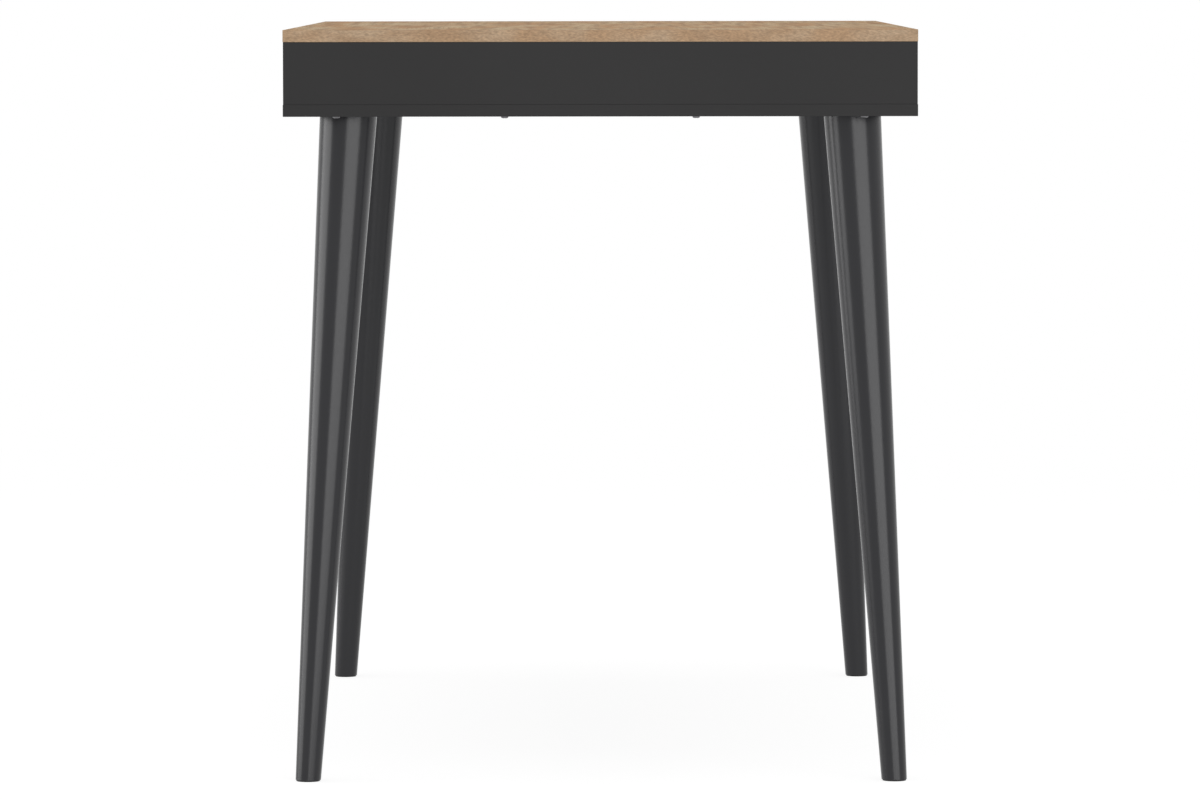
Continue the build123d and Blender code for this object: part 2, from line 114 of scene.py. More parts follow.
class ShaderGraph:
    """Adds nodes to one node tree and wires them."""

    # Places of the colour sockets on a Mix node, where several sockets share a name
    MIX_FACTOR = 0
    MIX_FIRST = 6
    MIX_SECOND = 7
    MIX_RESULT = 2

    def __init__(self, tree: bpy.types.NodeTree) -> None:
        """Keep the tree that the nodes go into."""
        self.tree = tree

    @classmethod
    def blank(cls, owner: bpy.types.Material | bpy.types.World) -> "ShaderGraph":
        """Start the graph of a material or a world.

        Args:
            owner: The material or the world.

        Returns:
            Its graph, with no nodes.
        """
        owner.use_nodes = True
        owner.node_tree.nodes.clear()
        return cls(owner.node_tree)

    def add(self, kind: str, inputs: dict | None = None, **settings: object) -> bpy.types.Node:
        """Add a node.

        Args:
            kind: Blender's name of the node's type.
            inputs: Values or sockets for the node's inputs, by socket name or index.
            settings: Attributes of the node itself.

        Returns:
            The new node.
        """
        node = self.tree.nodes.new(kind)
        for key, value in settings.items():
            setattr(node, key, value)
        for key, value in (inputs or {}).items():
            self.feed(node.inputs[key], value)
        return node

    def feed(self, socket: Socket, value: object) -> None:
        """Link a socket to another one, or set its own value.

        Args:
            socket: The input socket.
            value: The socket that it is linked to, or a plain value.
        """
        if isinstance(value, Socket):
            self.tree.links.new(value, socket)
        else:
            socket.default_value = value

    def math(self, operation: str, first: object, second: object = 0.0) -> Socket:
        """Return the result of one Math node."""
        return self.add("ShaderNodeMath", {0: first, 1: second}, operation=operation).outputs[0]

    def noise(self, place: Socket, scale: object = 1.0, detail: float = 2.0) -> Socket:
        """Return the value of a noise texture."""
        inputs = {"Vector": place, "Scale": scale, "Detail": detail}
        return self.add("ShaderNodeTexNoise", inputs).outputs[0]

    def stretch(self, place: Socket, scale: Triple) -> Socket:
        """Return coordinates scaled by a factor on each axis."""
        return self.add("ShaderNodeMapping", {"Vector": place, "Scale": scale}).outputs[0]

    def span(self, value: Socket, given: Range, wanted: tuple[object, object] = (0.0, 1.0)) -> Socket:
        """Return a value mapped from one range to another, and held at its ends."""
        ends = dict(zip(("From Min", "From Max", "To Min", "To Max"), (*given, *wanted)))
        return self.add("ShaderNodeMapRange", {"Value": value, **ends}).outputs[0]

    def blend(self, factor: object, first: object, second: object, mode: str = "MIX") -> Socket:
        """Return the mix of two colours."""
        inputs = {self.MIX_FACTOR: factor, self.MIX_FIRST: first, self.MIX_SECOND: second}
        return self.add("ShaderNodeMix", inputs, data_type="RGBA", blend_type=mode).outputs[self.MIX_RESULT]

    def shaded(self, colour: Socket, level: Socket) -> Socket:
        """Return a colour made lighter or darker by a level."""
        grey = self.add("ShaderNodeCombineXYZ", {"X": level, "Y": level, "Z": level}).outputs[0]
        return self.blend(1.0, colour, grey, "MULTIPLY")


@dataclass(frozen=True)
class PlainPattern:
    """Sizes and strengths of the drift of tone and the pearl on plain surfaces."""

    cloud_detail: float = 3.0
    cloud_range: Range = (0.3, 0.7)
    swing: Range = (-1.0, 1.0)
    pearl_range: Range = (0.25, 0.75)


@dataclass(frozen=True)
class RolledPattern:
    """Sizes and strengths of the streaks in rolled steel: scales are repeats per metre on each axis."""

    streak_scale: Triple = (900.0, 14.0, 900.0)
    streak_detail: float = 3.0
    streak_part: float = 0.6
    spangle_size: float = 260.0
    spangle_detail: float = 1.0
    spangle_part: float = 0.4
    tone_range: Range = (0.3, 0.7)
    tone_shades: Range = (0.90, 1.06)


@dataclass(frozen=True)
class WoodPattern:
    """Sizes and strengths of the wood print: scales are repeats per metre along, across and into a board."""

    patch_scale: Triple = (2.6, 26.0, 26.0)
    patch_detail: float = 3.0
    patch_range: Range = (0.38, 0.62)
    streak_scale: Triple = (3.2, 105.0, 105.0)
    streak_detail: float = 4.0
    streak_range: Range = (0.46, 0.66)
    streak_share: float = 0.52
    sway_scale: Triple = (1.4, 4.0, 4.0)
    sway_detail: float = 0.0
    sway: float = 0.15
    heart_spacing: float = 0.16
    heart_depth: float = 0.014
    heart_wander: float = 0.12
    trunk_taper: float = 0.085
    rings_per_metre: float = 190.0
    ring_sharpness: float = 2.5
    ring_shares: Range = (0.26, 0.48)
    pore_scale: Triple = (40.0, 1100.0, 1100.0)
    pore_detail: float = 3.0
    pore_range: Range = (0.57, 0.70)
    pore_share: float = 0.42
    pore_sink: float = 1.5
    fleck_turn: Triple = (0.0, -0.6, 0.6)
    fleck_scale: Triple = (310.0, 800.0, 800.0)
    fleck_range: Range = (0.25, 0.75)
    fleck_shades: Range = (0.75, 1.25)


class SharedEffects:
    """Node groups that several finishes share, each built once."""

    def __init__(self) -> None:
        """Build every group."""
        self.tone_drift = self._tone_drift(PlainPattern())
        self.fine_relief = self._fine_relief(PlainPattern())
        self.drawn_streaks = self._drawn_streaks(RolledPattern())
        self.wood_print = self._wood_print(WoodPattern())

    @staticmethod
    def _open(
        name: str, inputs: dict[str, SocketKind], outputs: dict[str, SocketKind]
    ) -> tuple[ShaderGraph, dict[str, Socket]]:
        """Start a group.

        Args:
            name: The group's name.
            inputs: What each input carries, by its name.
            outputs: What each output carries, by its name.

        Returns:
            The group's graph, and its input sockets by name.
        """
        tree = bpy.data.node_groups.new(name, "ShaderNodeTree")
        for direction, sockets in (("INPUT", inputs), ("OUTPUT", outputs)):
            for label, kind in sockets.items():
                tree.interface.new_socket(label, in_out=direction, socket_type=kind.value)
        graph = ShaderGraph(tree)
        entry = graph.add("NodeGroupInput")
        return graph, {label: entry.outputs[label] for label in inputs}

    def _tone_drift(self, look: PlainPattern) -> bpy.types.NodeTree:
        """Build the group that lets a colour drift lighter and darker over a board.

        Args:
            look: The pattern's sizes.

        Returns:
            The group.
        """
        inputs = {
            "Vector": SocketKind.PLACE,
            "Colour": SocketKind.COLOUR,
            "Size": SocketKind.VALUE,
            "Spread": SocketKind.VALUE,
        }
        graph, given = self._open("tone_drift", inputs, {"Colour": SocketKind.COLOUR})
        cloud = graph.noise(given["Vector"], given["Size"], look.cloud_detail)
        swing = graph.math("MULTIPLY", graph.span(cloud, look.cloud_range, look.swing), given["Spread"])
        level = graph.math("ADD", swing, 1.0)
        graph.add("NodeGroupOutput", {"Colour": graph.shaded(given["Colour"], level)})
        return graph.tree

    def _fine_relief(self, look: PlainPattern) -> bpy.types.NodeTree:
        """Build the group with the fine pearl of a pressed or sprayed surface.

        Args:
            look: The pattern's sizes.

        Returns:
            The group.
        """
        inputs = {
            "Vector": SocketKind.PLACE,
            "Size": SocketKind.VALUE,
            "Smooth": SocketKind.VALUE,
            "Rough": SocketKind.VALUE,
        }
        outputs = {"Height": SocketKind.VALUE, "Roughness": SocketKind.VALUE}
        graph, given = self._open("fine_relief", inputs, outputs)
        pearl = graph.noise(given["Vector"], given["Size"])
        roughness = graph.span(pearl, look.pearl_range, (given["Smooth"], given["Rough"]))
        graph.add("NodeGroupOutput", {"Height": pearl, "Roughness": roughness})
        return graph.tree

    def _drawn_streaks(self, look: RolledPattern) -> bpy.types.NodeTree:
        """Build the group with the streaks that rolling leaves along Y in plated steel.

        Args:
            look: The pattern's sizes.

        Returns:
            The group.
        """
        inputs = {
            "Vector": SocketKind.PLACE,
            "Colour": SocketKind.COLOUR,
            "Smooth": SocketKind.VALUE,
            "Rough": SocketKind.VALUE,
        }
        outputs = {"Colour": SocketKind.COLOUR, "Roughness": SocketKind.VALUE, "Height": SocketKind.VALUE}
        graph, given = self._open("drawn_streaks", inputs, outputs)
        streak = graph.noise(graph.stretch(given["Vector"], look.streak_scale), detail=look.streak_detail)
        spangle = graph.noise(given["Vector"], look.spangle_size, look.spangle_detail)
        streaks = graph.math("MULTIPLY", streak, look.streak_part)
        spangles = graph.math("MULTIPLY", spangle, look.spangle_part)
        shade = graph.span(graph.math("ADD", streaks, spangles), look.tone_range, look.tone_shades)
        results = {
            "Colour": graph.shaded(given["Colour"], shade),
            "Roughness": graph.span(streak, look.tone_range, (given["Smooth"], given["Rough"])),
            "Height": streak,
        }
        graph.add("NodeGroupOutput", results)
        return graph.tree

    def _wood_print(self, look: WoodPattern) -> bpy.types.NodeTree:
        """Build the group with wood, its grain along X: tints, streaks, growth rings, pores and saw marks.

        Args:
            look: The pattern's sizes.

        Returns:
            The group.
        """
        inputs = {
            "Vector": SocketKind.PLACE,
            "Pale": SocketKind.COLOUR,
            "Warm": SocketKind.COLOUR,
            "Dark": SocketKind.COLOUR,
            "Repeat": SocketKind.VALUE,
            "Rings": SocketKind.VALUE,
        }
        outputs = {"Colour": SocketKind.COLOUR, "Height": SocketKind.VALUE}
        graph, given = self._open("wood_print", inputs, outputs)
        closer = graph.add("ShaderNodeCombineXYZ", {"X": given["Repeat"], "Y": 1.0, "Z": 1.0}).outputs[0]
        factors = {0: given["Vector"], 1: closer}
        place = graph.add("ShaderNodeVectorMath", factors, operation="MULTIPLY").outputs[0]
        patch = graph.noise(graph.stretch(place, look.patch_scale), detail=look.patch_detail)
        tint = graph.blend(graph.span(patch, look.patch_range), given["Warm"], given["Pale"])
        streak = graph.noise(graph.stretch(place, look.streak_scale), detail=look.streak_detail)
        streak_mask = graph.span(streak, look.streak_range, (0.0, look.streak_share))
        streaked = graph.blend(streak_mask, tint, given["Dark"])
        ring_share = graph.span(patch, look.patch_range, look.ring_shares)
        ring_strength = graph.math("MULTIPLY", ring_share, given["Rings"])
        ring_mask = graph.math("MULTIPLY", self._growth_rings(graph, place, look), ring_strength)
        lined = graph.blend(ring_mask, streaked, given["Dark"])
        pores = graph.noise(graph.stretch(place, look.pore_scale), detail=look.pore_detail)
        pore_mask = graph.span(pores, look.pore_range)
        pored = graph.blend(graph.math("MULTIPLY", pore_mask, look.pore_share), lined, given["Dark"])
        slanted = {"Vector": given["Vector"], "Rotation": look.fleck_turn, "Scale": look.fleck_scale}
        fleck = graph.noise(graph.add("ShaderNodeMapping", slanted).outputs[0])
        shade = graph.span(fleck, look.fleck_range, look.fleck_shades)
        sunk = graph.math("MULTIPLY", pore_mask, look.pore_sink)
        results = {"Colour": graph.shaded(pored, shade), "Height": graph.math("SUBTRACT", fleck, sunk)}
        graph.add("NodeGroupOutput", results)
        return graph.tree

    @staticmethod
    def _growth_rings(graph: ShaderGraph, place: Socket, look: WoodPattern) -> Socket:
        """Cut a board's face out of the growth rings of a tapering trunk.

        Args:
            graph: The group's graph.
            place: Coordinates with the grain along X and the board's face at Z = 0.
            look: The pattern's sizes.

        Returns:
            A value that rises over each ring and drops at its end.
        """
        bend = graph.noise(graph.stretch(place, look.sway_scale), detail=look.sway_detail)
        sway = graph.math("MULTIPLY", bend, look.sway)
        along, across, deep = graph.add("ShaderNodeSeparateXYZ", {"Vector": place}).outputs
        from_heart = graph.math("PINGPONG", graph.math("ADD", across, sway), look.heart_spacing)
        cover = graph.math("ADD", deep, look.heart_depth)
        heart_depth = graph.math("ADD", cover, graph.math("MULTIPLY", sway, look.heart_wander))
        squares = [graph.math("POWER", leg, 2.0) for leg in (from_heart, heart_depth)]
        radius = graph.math("SQRT", graph.math("ADD", *squares))
        grown = graph.math("SUBTRACT", radius, graph.math("MULTIPLY", along, look.trunk_taper))
        turn = graph.math("FRACT", graph.math("MULTIPLY", grown, look.rings_per_metre))
        return graph.math("POWER", turn, look.ring_sharpness)


@dataclass(frozen=True)
class Surface:
    """What a finish tells its shader at each point."""

    colour: Socket
    roughness: Socket
    height: Socket


@dataclass(frozen=True, kw_only=True)
class Finish:
    """A surface finish: a name, a colour and the plain values of its shader."""

    name: str
    colour: Triple
    smooth: float
    rough: float
    specular: float = 0.5
    metallic: float = 0.0
    relief: float = 0.0

    def build(self, effects: SharedEffects) -> bpy.types.Material:
        """Make the finish's material.

        Args:
            effects: The shared node groups.

        Returns:
            The material, with its shader wired.
        """
        material = bpy.data.materials.new(self.name)
        graph = ShaderGraph.blank(material)
        place = graph.add("ShaderNodeTexCoord").outputs["Object"]
        surface = self.surface(graph, place, effects)
        inputs = {
            "Base Color": surface.colour,
            "Roughness": surface.roughness,
            "Metallic": self.metallic,
            "Specular IOR Level": self.specular,
        }
        if self.relief > 0.0:
            bumps = {"Height": surface.height, "Strength": 1.0, "Distance": self.relief}
            inputs["Normal"] = graph.add("ShaderNodeBump", bumps).outputs[0]
        shader = graph.add("ShaderNodeBsdfPrincipled", inputs)
        graph.add("ShaderNodeOutputMaterial", {"Surface": shader.outputs[0]})
        return material

    def surface(self, graph: ShaderGraph, place: Socket, effects: SharedEffects) -> Surface:
        """Return the finish's surface, which each kind of finish makes in its own way."""
        raise NotImplementedError


@dataclass(frozen=True, kw_only=True)
class PearlFinish(Finish):
    """A plain pressed, sprayed or moulded surface with a fine pearl and a slow drift of tone."""

    drift_size: float = 4.0
    drift: float = 0.05
    pearl_size: float = 900.0

    def surface(self, graph: ShaderGraph, place: Socket, effects: SharedEffects) -> Surface:
        """Wire the drifting colour and the pearl.

        Args:
            graph: The material's graph.
            place: Object coordinates.
            effects: The shared node groups.

        Returns:
            The surface.
        """
        colour = opaque(self.colour)
        clouds = {"Vector": place, "Colour": colour, "Size": self.drift_size, "Spread": self.drift}
        tone = graph.add("ShaderNodeGroup", clouds, node_tree=effects.tone_drift).outputs
        grains = {"Vector": place, "Size": self.pearl_size, "Smooth": self.smooth, "Rough": self.rough}
        pearl = graph.add("ShaderNodeGroup", grains, node_tree=effects.fine_relief).outputs
        return Surface(tone["Colour"], pearl["Roughness"], pearl["Height"])


@dataclass(frozen=True, kw_only=True)
class WoodFinish(Finish):
    """Wood, printed or real: the colour is the warm tone, beside a pale and a dark one."""

    pale: Triple
    dark: Triple
    grain: Grain = Grain.ALONG_LENGTH
    face_level: float = 0.75
    repeat: float = 1.0
    rings: float = 1.0
    height_range: Range = (-0.5, 0.75)

    def surface(self, graph: ShaderGraph, place: Socket, effects: SharedEffects) -> Surface:
        """Wire the grain, rough where it is low.

        Args:
            graph: The material's graph.
            place: Object coordinates.
            effects: The shared node groups.

        Returns:
            The surface.
        """
        level = (0.0, 0.0, -self.face_level)
        turn = {"Vector": place, "Location": level, "Rotation": (0.0, 0.0, self.grain.value)}
        values = {
            "Vector": graph.add("ShaderNodeMapping", turn).outputs[0],
            "Warm": opaque(self.colour),
            "Pale": opaque(self.pale),
            "Dark": opaque(self.dark),
            "Repeat": self.repeat,
            "Rings": self.rings,
        }
        wood = graph.add("ShaderNodeGroup", values, node_tree=effects.wood_print).outputs
        roughness = graph.span(wood["Height"], self.height_range, (self.rough, self.smooth))
        return Surface(wood["Colour"], roughness, wood["Height"])


@dataclass(frozen=True, kw_only=True)
class PlatedFinish(Finish):
    """Plated or polished metal with rolling streaks."""

    metallic: float = 1.0

    def surface(self, graph: ShaderGraph, place: Socket, effects: SharedEffects) -> Surface:
        """Wire the streaks.

        Args:
            graph: The material's graph.
            place: Object coordinates.
            effects: The shared node groups.

        Returns:
            The surface.
        """
        colour = opaque(self.colour)
        values = {"Vector": place, "Colour": colour, "Smooth": self.smooth, "Rough": self.rough}
        streaks = graph.add("ShaderNodeGroup", values, node_tree=effects.drawn_streaks).outputs
        return Surface(streaks["Colour"], streaks["Roughness"], streaks["Height"])


OAK_FACE = WoodFinish(
    name="oak_print_face",
    colour=(0.418, 0.250, 0.128),
    pale=(0.494, 0.374, 0.235),
    dark=(0.204, 0.121, 0.065),
    smooth=0.58,
    rough=0.70,
    specular=0.02,
    relief=0.000016,
)
OAK_END_BAND = WoodFinish(
    name="oak_band_across",
    colour=(0.444, 0.287, 0.168),
    pale=(0.470, 0.336, 0.220),
    dark=(0.345, 0.222, 0.130),
    smooth=0.50,
    rough=0.62,
    specular=0.2,
    relief=0.000012,
    grain=Grain.ALONG_DEPTH,
    repeat=8.0,
    rings=0.4,
)
OAK_SIDE_BAND = replace(OAK_END_BAND, name="oak_band_along", grain=Grain.ALONG_LENGTH)
BEECH = WoodFinish(
    name="beech_dowel",
    colour=(0.53, 0.36, 0.20),
    pale=(0.58, 0.42, 0.26),
    dark=(0.36, 0.22, 0.11),
    smooth=0.55,
    rough=0.70,
    specular=0.3,
    relief=0.00003,
)
ANTHRACITE = PearlFinish(
    name="anthracite_melamine",
    colour=(0.0343, 0.0337, 0.0340),
    smooth=0.52,
    rough=0.62,
    specular=0.12,
    relief=0.000012,
)
LEG_LACQUER = PearlFinish(
    name="leg_lacquer",
    colour=(0.0163, 0.0163, 0.0190),
    smooth=0.21,
    rough=0.26,
    specular=0.355,
    relief=0.000002,
    drift=0.04,
    pearl_size=420.0,
)
NYLON = PearlFinish(
    name="glide_nylon",
    colour=(0.012, 0.012, 0.012),
    smooth=0.55,
    rough=0.70,
    specular=0.3,
    relief=0.00002,
    drift=0.1,
)
HARDBOARD = PearlFinish(
    name="drawer_hardboard",
    colour=(0.048, 0.048, 0.048),
    smooth=0.62,
    rough=0.80,
    specular=0.2,
    relief=0.00003,
    drift_size=30.0,
    drift=0.10,
    pearl_size=350.0,
)
ZINC_PLATE = PlatedFinish(
    name="zinc_plate", colour=(0.50, 0.51, 0.53), smooth=0.28, rough=0.44, relief=0.000004
)
SCREW_ZINC = PlatedFinish(
    name="screw_zinc", colour=(0.17, 0.168, 0.175), smooth=0.34, rough=0.48, relief=0.000004
)
ZINC_CAST = PlatedFinish(
    name="zinc_casting", colour=(0.40, 0.40, 0.41), smooth=0.42, rough=0.60, relief=0.00002
)
RAIL_ZINC = PlatedFinish(
    name="rail_zinc", colour=(0.52, 0.53, 0.55), smooth=0.32, rough=0.40, relief=0.000002
)
BALL_STEEL = PlatedFinish(name="ball_steel", colour=(0.60, 0.60, 0.61), smooth=0.08, rough=0.14)

# The finish of each material slot in the record
SLOT_FINISHES = {
    "dark_melamine": ANTHRACITE,
    "zinc_steel": ZINC_PLATE,
    "zinc_casting": ZINC_CAST,
    "rail_steel": RAIL_ZINC,
    "beech": BEECH,
    "hardboard": HARDBOARD,
    "ball_steel": BALL_STEEL,
    "oak_melamine": OAK_FACE,
    "leg_lacquer": LEG_LACQUER,
    "black_nylon": NYLON,
}


class Workshop:
    """Makes materials once and turns bmeshes into pieces of the object."""

    def __init__(self) -> None:
        """Build the shared effects and start with no materials."""
        self.effects = SharedEffects()
        self.made: dict[str, bpy.types.Material] = {}

    def material(self, finish: Finish) -> bpy.types.Material:
        """Give the material of a finish, built at its first use.

        Args:
            finish: The finish.

        Returns:
            Its material.
        """
        if finish.name not in self.made:
            self.made[finish.name] = finish.build(self.effects)
        return self.made[finish.name]

    def piece(
        self, name: str, mesh: bmesh.types.BMesh, finishes: list[Finish], body: str
    ) -> bpy.types.Object:
        """Turn a bmesh into a piece that rides on a body.

        Args:
            name: The piece's name.
            mesh: The finished bmesh, in the frame's coordinates, which is freed here.
            finishes: One finish for each material index of its faces.
            body: The body that the piece moves with.

        Returns:
            The new object, at the origin.
        """
        for face in mesh.faces:
            face.smooth = True
        data = bpy.data.meshes.new(name)
        mesh.to_mesh(data)
        mesh.free()
        data.set_sharp_from_angle(angle=SMOOTH_ANGLE)
        for finish in finishes:
            data.materials.append(self.material(finish))
        made = bpy.data.objects.new(name, data)
        bpy.context.scene.collection.objects.link(made)
        made.modifiers.new("face_weighted_normals", "WEIGHTED_NORMAL").keep_sharp = True
        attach(made, body)
        LOG.info("%s: %d faces on %s", name, len(data.polygons), body)
        return made

    def dress(self, node: str, finish: Finish) -> None:
        """Give a CAD node its finish.

        Args:
            node: The node's name.
            finish: The finish.
        """
        shown = frame["nodes"][node]
        if not shown.material_slots:
            shown.data.materials.append(None)
        for place in shown.material_slots:
            place.material = self.material(finish)
        LOG.info("%s: %s", node, finish.name)


def corners(node: str) -> tuple[Vector, Vector]:
    """Return the lowest and the highest corner of a CAD node."""
    low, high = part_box(node)
    return Vector(low), Vector(high)


def islands(node: str) -> list[tuple[Vector, Vector]]:
    """Find the separate solids of a CAD node.

    Args:
        node: The node's name.

    Returns:
        The lowest and highest corner of each solid.
    """
    copy = bmesh.new()
    copy.from_mesh(frame["nodes"][node].data)
    bmesh.ops.remove_doubles(copy, verts=copy.verts, dist=SAME_PLACE)
    left = set(copy.verts)
    found = []
    while left:
        seen = {left.pop()}
        front = list(seen)
        while front:
            vert = front.pop()
            fresh = {edge.other_vert(vert) for edge in vert.link_edges} - seen
            seen |= fresh
            front.extend(fresh)
        left -= seen
        low = Vector([min(vert.co[axis] for vert in seen) for axis in range(3)])
        high = Vector([max(vert.co[axis] for vert in seen) for axis in range(3)])
        found.append((low, high))
    copy.free()
    return sorted(found, key=lambda ends: tuple(ends[0]))


def block(mesh: bmesh.types.BMesh, size: Vector, centre: Vector) -> None:
    """Add a rectangular block to a bmesh.

    Args:
        mesh: The bmesh that takes the block.
        size: The block's length on each axis.
        centre: The block's middle.
    """
    verts = bmesh.ops.create_cube(mesh, size=1.0)["verts"]
    bmesh.ops.scale(mesh, vec=size, verts=verts)
    bmesh.ops.translate(mesh, vec=centre, verts=verts)


def turn_on_lathe(
    mesh: bmesh.types.BMesh, outline: list[Vector], centre: Vector, axis: Vector, steps: int
) -> None:
    """Turn an open outline right round an axis.

    Args:
        mesh: The bmesh that takes the shape.
        outline: Points of half of the outline, in order.
        centre: A point on the axis.
        axis: The axis's direction.
        steps: Number of faces round the axis.
    """
    points = [mesh.verts.new(point) for point in outline]
    lines = [mesh.edges.new(ends) for ends in zip(points, points[1:])]
    bmesh.ops.spin(
        mesh, geom=points + lines, cent=centre, axis=axis, angle=FULL_TURN, steps=steps, use_merge=True
    )
    bmesh.ops.remove_doubles(mesh, verts=mesh.verts, dist=MERGE_DISTANCE)
    bmesh.ops.recalc_face_normals(mesh, faces=mesh.faces)


def soften(
    mesh: bmesh.types.BMesh, parts: list, radius: float, steps: int, kind: Rounding = Rounding.EDGES
) -> None:
    """Round some edges or corners of a shape.

    Args:
        mesh: The shape's bmesh.
        parts: The edges, or the corners, to round.
        radius: The rounding's radius.
        steps: Number of faces across the rounding.
        kind: Whether the parts are edges or corners.
    """
    bmesh.ops.bevel(
        mesh, geom=parts, offset=radius, affect=kind.value, segments=steps, profile=ROUND_PROFILE,
        material=KEEP_FINISH,
    )


@dataclass
class CarriedNodes:
    """All CAD nodes. Most keep their shape and only get a finish, and new pieces hide the rest later."""

    finishes: dict[str, Finish] = field(default_factory=SLOT_FINISHES.copy)

    def dress(self, workshop: Workshop) -> None:
        """Give every CAD node the finish of its record slot."""
        for row in frame["record"]["subparts"]:
            workshop.dress(row["node"], self.finishes[row["material_slot"]])


@dataclass
class Desktop:
    """The oak-print top, a board with a band glued round its edge."""

    band: float = 0.0006
    edge_round: float = 0.0004
    round_steps: int = 3
    node: str = "desktop"

    def build(self, workshop: Workshop) -> None:
        """Make the board, with its bands, and put it in place of the CAD node.

        Args:
            workshop: Where pieces are made.
        """
        low, high = corners(self.node)
        mesh = bmesh.new()
        block(mesh, high - low, (low + high) / 2)
        by_axis = (TopFace.END_BAND, TopFace.SIDE_BAND, TopFace.BOARD)
        for face in mesh.faces:
            axis = max(range(3), key=lambda number: abs(face.normal[number]))
            face.material_index = by_axis[axis].value
        soften(mesh, mesh.edges[:], self.edge_round, self.round_steps)
        broad = [face for face in mesh.faces if self.lies_at(face, low.z) or self.lies_at(face, high.z)]
        width = self.band - self.edge_round
        rims = bmesh.ops.inset_region(mesh, faces=broad, thickness=width, use_even_offset=True)["faces"]
        for face in rims:
            middle = face.calc_center_median()
            at_end = min(abs(middle.x - low.x), abs(middle.x - high.x)) < self.band
            face.material_index = (TopFace.END_BAND if at_end else TopFace.SIDE_BAND).value
        bmesh.ops.recalc_face_normals(mesh, faces=mesh.faces)
        finishes = [OAK_FACE, OAK_END_BAND, OAK_SIDE_BAND]
        board = workshop.piece("oak_desktop", mesh, finishes, DESK)
        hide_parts(self.node)

    @staticmethod
    def lies_at(face: bmesh.types.BMFace, level: float) -> bool:
        """Return whether a whole face lies at a level."""
        return all(abs(vert.co.z - level) < SAME_PLACE for vert in face.verts)


@dataclass
class TaperedLegs:
    """Four turned legs that lean outwards, cut level, each with a glide under its foot."""

    head_inset: float = 0.063
    foot_inset: float = 0.022
    head_diameter: float = 0.0572
    foot_diameter: float = 0.0253
    foot_round: float = 0.0004
    spare: float = 0.02
    glide_diameter: float = 0.0236
    glide_round: float = 0.0004
    steps: int = 128
    round_steps: int = 3

    def centre(self, x_sign: int, y_sign: int, inset: float, level: float) -> Vector:
        """Find where a leg's centre line crosses a level.

        Args:
            x_sign: -1 for a leg on the left, 1 for one on the right.
            y_sign: -1 for a leg at the front, 1 for one at the rear.
            inset: How far in from the edges of the top the point lies.
            level: Its height.

        Returns:
            The point.
        """
        low, high = corners("desktop")
        reach = (high - low) / 2
        return Vector((x_sign * (reach.x - inset), y_sign * (reach.y - inset), level))

    def build(self, workshop: Workshop) -> None:
        """Make all legs and glides in place of their CAD nodes.

        Args:
            workshop: Where pieces are made.
        """
        for end, y_sign in ENDS.items():
            for side, x_sign in SIDES.items():
                corner = f"{end}_{side}"
                low, high = corners(f"{corner}_leg")
                foot = self.centre(x_sign, y_sign, self.foot_inset, 0.0)
                head = self.centre(x_sign, y_sign, self.head_inset, high.z)
                cone = self.cone(foot, head, low.z)
                leg = workshop.piece(f"{corner}_turned_leg", cone, [LEG_LACQUER], DESK)
                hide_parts(f"{corner}_leg")
                disc = self.pad(foot, low.z)
                pad = workshop.piece(f"{corner}_foot_pad", disc, [NYLON], DESK)
                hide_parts(f"{corner}_glide")

    def cone(self, foot: Vector, head: Vector, sole: float) -> bmesh.types.BMesh:
        """Turn one leg about its leaning centre line and cut it level.

        Args:
            foot: Where the centre line meets the floor.
            head: Where it meets the bottom panel.
            sole: The level where the leg stands on its glide.

        Returns:
            The leg's bmesh.
        """
        mesh = bmesh.new()
        line = head - foot
        axis = line.normalized()
        outwards = axis.orthogonal().normalized()
        growth = (self.head_diameter - self.foot_diameter) / 2 / line.length * self.spare
        start = foot - axis * self.spare + outwards * (self.foot_diameter / 2 - growth)
        stop = head + axis * self.spare + outwards * (self.head_diameter / 2 + growth)
        turn_on_lathe(mesh, [start, stop], foot, axis, self.steps)
        for level, away in ((head.z, UP), (sole, -UP)):
            everything = mesh.verts[:] + mesh.edges[:] + mesh.faces[:]
            bmesh.ops.bisect_plane(
                mesh, geom=everything, plane_co=UP * level, plane_no=away, clear_outer=True
            )
        bmesh.ops.holes_fill(mesh, edges=[edge for edge in mesh.edges if edge.is_boundary], sides=0)
        bmesh.ops.recalc_face_normals(mesh, faces=mesh.faces)
        soften(mesh, self.lower_rim(mesh, sole), self.foot_round, self.round_steps)
        return mesh

    def pad(self, foot: Vector, height: float) -> bmesh.types.BMesh:
        """Turn the glide under a foot, with a rounded lower rim.

        Args:
            foot: The middle of its underside.
            height: Its height.

        Returns:
            The glide's bmesh.
        """
        mesh = bmesh.new()
        side = Vector((self.glide_diameter / 2, 0.0, 0.0))
        outline = [foot, foot + side, foot + side + UP * height, foot + UP * height]
        turn_on_lathe(mesh, outline, foot, UP, self.steps)
        soften(mesh, self.lower_rim(mesh, foot.z), self.glide_round, self.round_steps)
        return mesh

    @staticmethod
    def lower_rim(mesh: bmesh.types.BMesh, level: float) -> list[bmesh.types.BMEdge]:
        """Find the edges round the underside of a turned shape.

        Args:
            mesh: The shape's bmesh.
            level: The underside's level.

        Returns:
            The edges where the underside meets the sides.
        """
        low = {vert for vert in mesh.verts if abs(vert.co.z - level) < SAME_PLACE}
        across = [edge for edge in mesh.edges if low.issuperset(edge.verts)]
        return [edge for edge in across if edge.calc_face_angle(0.0) > SMOOTH_ANGLE]


